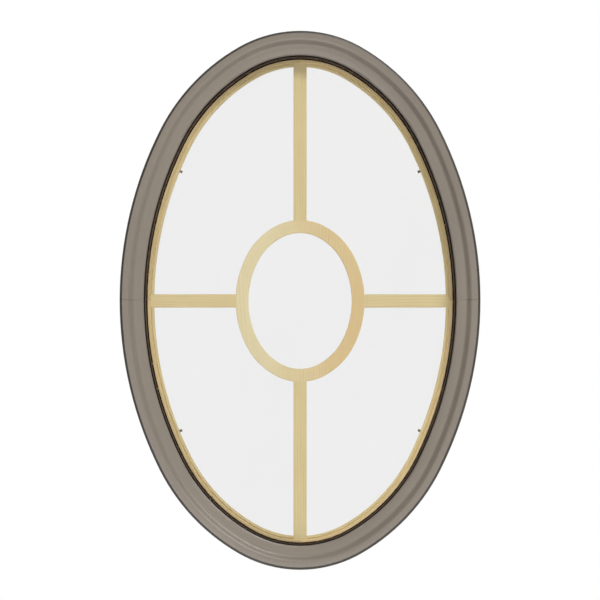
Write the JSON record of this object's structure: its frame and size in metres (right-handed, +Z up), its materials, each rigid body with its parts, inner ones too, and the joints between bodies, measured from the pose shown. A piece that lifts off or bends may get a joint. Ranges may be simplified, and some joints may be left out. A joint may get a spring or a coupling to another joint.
{
  "type": "oval clad wood window",
  "caption": "Fixed oval window: aluminium-clad wood frame, insulating glass, and a wood grille with a centre ring held by pull pins.",
  "frame": {"origin": "centre of the oval, in the plane of the back of the cladding flange (the wall's outer face)", "axes": "+Z up, +Y towards the room, +X to the right seen from outside"},
  "size_m": [0.61, 0.1485, 0.912],
  "materials": {
    "clad_paint": "satin taupe baked paint",
    "mill_aluminium": "mill finish",
    "zinc_screw": "zinc plated",
    "brad_steel": "bright steel",
    "pine_jamb": "bare pine, fine sanded",
    "beech": "bare beech",
    "clear_glass": "clear float glass",
    "bronze_spacer": "bronze anodised",
    "desiccant_grain": "fine dry beads",
    "edge_sealant": "black sealant",
    "black_seal": "black glazing seal",
    "block_rubber": "black setting block",
    "pine_stop": "bare pine, fine sanded",
    "pine_surround": "bare pine, fine sanded",
    "pine_bar": "bare pine, fine sanded",
    "pine_ring": "bare pine, fine sanded",
    "ferrule_brass": "plain brass",
    "pin_plastic": "dark moulded plastic"
  },
  "bodies": {
    "window": {"cladding_upper": "clad_paint", "cladding_lower": "clad_paint", "splice_key_left": "mill_aluminium", "splice_key_right": "mill_aluminium", "cladding_screws": "zinc_screw", "stop_brads": "brad_steel", "jamb_right": "pine_jamb", "jamb_upper_right": "pine_jamb", "jamb_top": "pine_jamb", "jamb_upper_left": "pine_jamb", "jamb_left": "pine_jamb", "jamb_lower_left": "pine_jamb", "jamb_bottom": "pine_jamb", "jamb_lower_right": "pine_jamb", "jamb_splines": "beech", "ring_dowels": "beech", "exterior_lite": "clear_glass", "interior_lite": "clear_glass", "glass_spacer": "bronze_spacer", "desiccant": "desiccant_grain", "glass_edge_sealant": "edge_sealant", "exterior_glazing_seal": "black_seal", "interior_glazing_tape": "black_seal", "setting_blocks": "block_rubber", "stop_upper_right": "pine_stop", "stop_upper_left": "pine_stop", "stop_lower_left": "pine_stop", "stop_lower_right": "pine_stop", "surround_upper_right": "pine_surround", "surround_upper_left": "pine_surround", "surround_lower_left": "pine_surround", "surround_lower_right": "pine_surround", "bar_top": "pine_bar", "bar_bottom": "pine_bar", "bar_left": "pine_bar", "bar_right": "pine_bar", "ring_left": "pine_ring", "ring_right": "pine_ring", "pin_ferrules": "ferrule_brass"},
    "pin_upper_right": {"pull_pin_upper_right": "pin_plastic"},
    "pin_upper_left": {"pull_pin_upper_left": "pin_plastic"},
    "pin_lower_left": {"pull_pin_lower_left": "pin_plastic"},
    "pin_lower_right": {"pull_pin_lower_right": "pin_plastic"}
  },
  "joints": [
    {"name": "pull_upper_right", "type": "slide", "parent": "window", "child": "pin_upper_right", "axis": [-0.9259, 0, -0.3778], "range_m": [0, 0.01]},
    {"name": "pull_upper_left", "type": "slide", "parent": "window", "child": "pin_upper_left", "axis": [0.9259, 0, -0.3778], "range_m": [0, 0.01]},
    {"name": "pull_lower_left", "type": "slide", "parent": "window", "child": "pin_lower_left", "axis": [0.9259, 0, 0.3778], "range_m": [0, 0.01]},
    {"name": "pull_lower_right", "type": "slide", "parent": "window", "child": "pin_lower_right", "axis": [-0.9259, 0, 0.3778], "range_m": [0, 0.01]}
  ]
}
